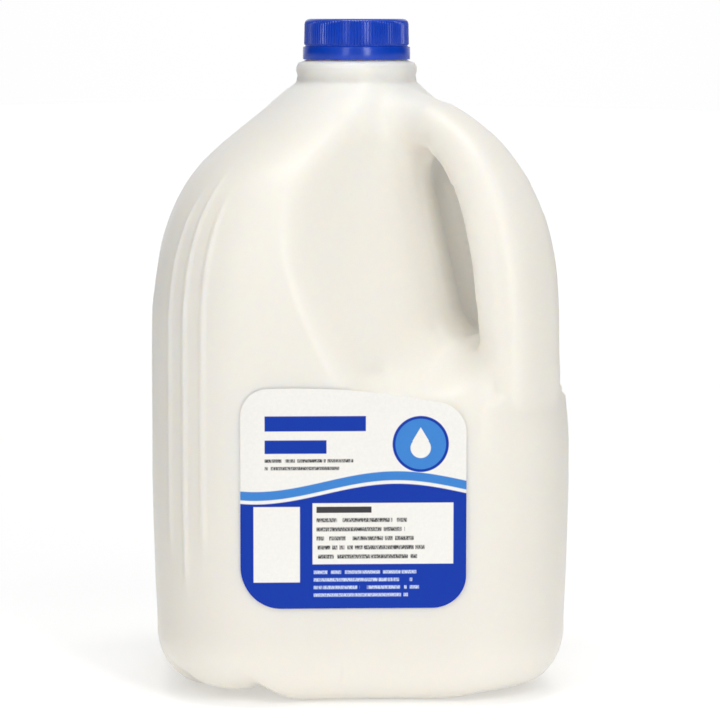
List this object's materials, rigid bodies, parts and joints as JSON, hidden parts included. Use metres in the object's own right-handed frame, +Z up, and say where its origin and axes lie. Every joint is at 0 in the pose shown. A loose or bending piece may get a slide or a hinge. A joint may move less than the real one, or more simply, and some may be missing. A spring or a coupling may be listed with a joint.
{
  "type": "milk jug",
  "caption": "Gallon-size blow-moulded plastic milk jug with a square rounded body, a corner handle with a finger hole, a ridged screw cap and a printed front label.",
  "frame": {"origin": "centre of the bottom, on the surface the jug stands on", "axes": "+Z up through the neck, +X towards the handle corner, label on the side that faces +X -Y"},
  "size_m": [0.183, 0.1838, 0.246],
  "materials": {
    "jug": "translucent satin polyethylene with milk behind it",
    "cap": "satin moulded",
    "label": "printed film, white and blue"
  },
  "bodies": {
    "root": {"jug": "jug", "cap": "cap", "label": "label"}
  },
  "joints": []
}
